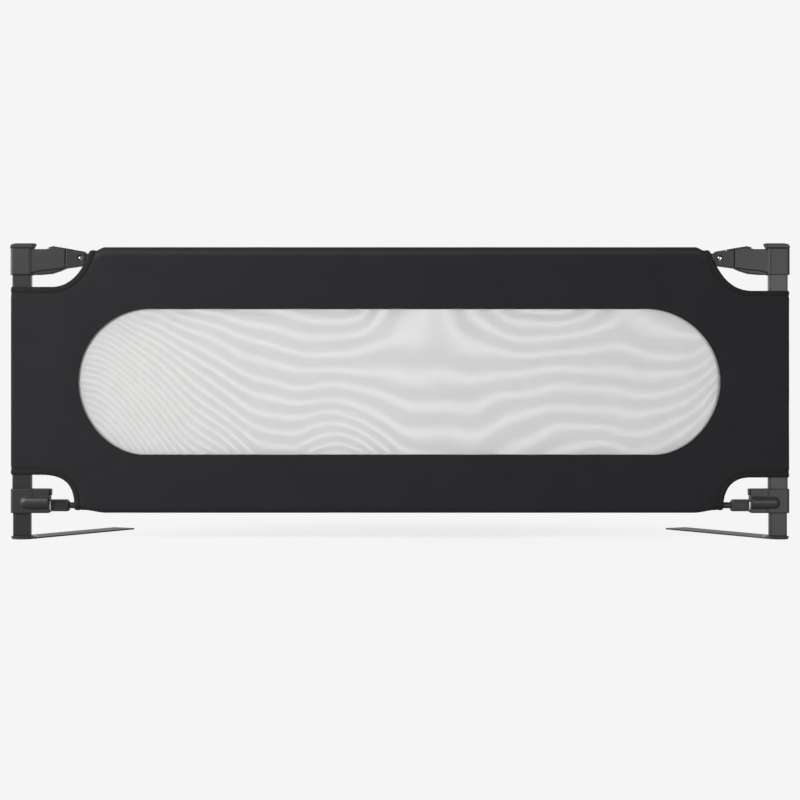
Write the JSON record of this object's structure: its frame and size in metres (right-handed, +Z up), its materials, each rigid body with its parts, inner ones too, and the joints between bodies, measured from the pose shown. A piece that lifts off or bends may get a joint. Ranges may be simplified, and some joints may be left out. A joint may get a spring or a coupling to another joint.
{
  "type": "folding bed guard rail",
  "caption": "Bed guard rail with a fabric and mesh panel on a tube frame, telescoping posts and swivelling flat feet for under a mattress.",
  "frame": {"origin": "on the floor under the middle of the object's box", "axes": "+X along the rail, +Y towards the bed, the way the feet point, +Z up"},
  "size_m": [1.5, 0.3038, 0.569],
  "materials": {
    "post_paint": "satin powder coat on steel tube",
    "foot_paint": "satin powder coat on steel plate",
    "moulding": "moulded nylon, fine grain",
    "dark_moulding": "moulded nylon, satin",
    "nylon": "natural nylon",
    "zinc": "zinc plated steel",
    "fabric": "woven polyester, stretched",
    "tape": "folded binding tape",
    "mesh": "knitted polyester net"
  },
  "bodies": {
    "rail_frame": {"left_outer_post": "post_paint", "left_top_bracket": "moulding", "left_lid": "moulding", "left_top_bracket_screw": "zinc", "left_rail_sleeve": "moulding", "left_lever_pin": "zinc", "left_rail_end_tube": "post_paint", "left_snap_spring": "zinc", "left_rail_bush": "nylon", "left_lower_bracket": "moulding", "left_lower_bracket_screw": "zinc", "left_lock_spring": "zinc", "left_lower_socket": "dark_moulding", "left_socket_washer": "nylon", "left_lower_rod": "post_paint", "left_lower_rail_bush": "nylon", "right_outer_post": "post_paint", "right_top_bracket": "moulding", "right_lid": "moulding", "right_top_bracket_screw": "zinc", "right_rail_sleeve": "moulding", "right_lever_pin": "zinc", "right_rail_end_tube": "post_paint", "right_snap_spring": "zinc", "right_rail_bush": "nylon", "right_lower_bracket": "moulding", "right_lower_bracket_screw": "zinc", "right_lock_spring": "zinc", "right_lower_socket": "dark_moulding", "right_socket_washer": "nylon", "right_lower_rod": "post_paint", "right_lower_rail_bush": "nylon", "top_rail": "post_paint", "lower_rail": "post_paint", "cover_front": "fabric", "cover_back": "fabric", "front_mesh": "mesh", "back_mesh": "mesh", "top_left_binding": "tape", "top_right_binding": "tape", "lower_left_binding": "tape", "lower_right_binding": "tape"},
    "left_leg": {"left_inner_post": "post_paint", "left_post_glide": "nylon", "left_base_plate": "foot_paint", "left_foot_pivot_rivet": "zinc"},
    "left_foot": {"left_foot_plate": "foot_paint", "left_foot_stop_rivet": "zinc"},
    "left_lever": {"left_release_lever": "dark_moulding"},
    "left_button": {"left_snap_button": "zinc"},
    "left_lock": {"left_lock_slide": "dark_moulding"},
    "right_leg": {"right_inner_post": "post_paint", "right_post_glide": "nylon", "right_base_plate": "foot_paint", "right_foot_pivot_rivet": "zinc"},
    "right_foot": {"right_foot_plate": "foot_paint", "right_foot_stop_rivet": "zinc"},
    "right_lever": {"right_release_lever": "dark_moulding"},
    "right_button": {"right_snap_button": "zinc"},
    "right_lock": {"right_lock_slide": "dark_moulding"}
  },
  "joints": [
    {"name": "left_leg_slide", "type": "slide", "parent": "rail_frame", "child": "left_leg", "axis": [0, 0, -1], "range_m": [0, 0.2]},
    {"name": "left_foot_swivel", "type": "hinge", "parent": "left_leg", "child": "left_foot", "pos_m": [-0.7285, -0.13195, 0], "axis": [0, 0, 1], "range_deg": [-58.6, 31.4]},
    {"name": "left_lever_lift", "type": "hinge", "parent": "rail_frame", "child": "left_lever", "pos_m": [-0.6275, -0.13195, 0.5545], "axis": [0, 1, 0], "range_deg": [0, 20], "stiffness_Nm_per_rad": 0.08},
    {"name": "left_button_press", "type": "slide", "parent": "rail_frame", "child": "left_button", "axis": [0, 1, 0], "range_m": [0, 0.004], "stiffness_N_per_m": 800, "deforming": ["left_snap_spring"]},
    {"name": "left_lock_pull", "type": "slide", "parent": "rail_frame", "child": "left_lock", "axis": [1, 0, 0], "range_m": [0, 0.007], "stiffness_N_per_m": 900, "deforming": ["left_lock_spring"]},
    {"name": "right_leg_slide", "type": "slide", "parent": "rail_frame", "child": "right_leg", "axis": [0, 0, -1], "range_m": [0, 0.2]},
    {"name": "right_foot_swivel", "type": "hinge", "parent": "right_leg", "child": "right_foot", "pos_m": [0.7285, -0.13195, 0], "axis": [0, 0, 1], "range_deg": [-31.4, 58.6]},
    {"name": "right_lever_lift", "type": "hinge", "parent": "rail_frame", "child": "right_lever", "pos_m": [0.6275, -0.13195, 0.5545], "axis": [0, -1, 0], "range_deg": [0, 20], "stiffness_Nm_per_rad": 0.08},
    {"name": "right_button_press", "type": "slide", "parent": "rail_frame", "child": "right_button", "axis": [0, 1, 0], "range_m": [0, 0.004], "stiffness_N_per_m": 800, "deforming": ["right_snap_spring"]},
    {"name": "right_lock_pull", "type": "slide", "parent": "rail_frame", "child": "right_lock", "axis": [-1, 0, 0], "range_m": [0, 0.007], "stiffness_N_per_m": 900, "deforming": ["right_lock_spring"]}
  ],
  "couplings": [
    {"joint": "right_leg_slide", "follows": "left_leg_slide", "ratio": 1}
  ]
}
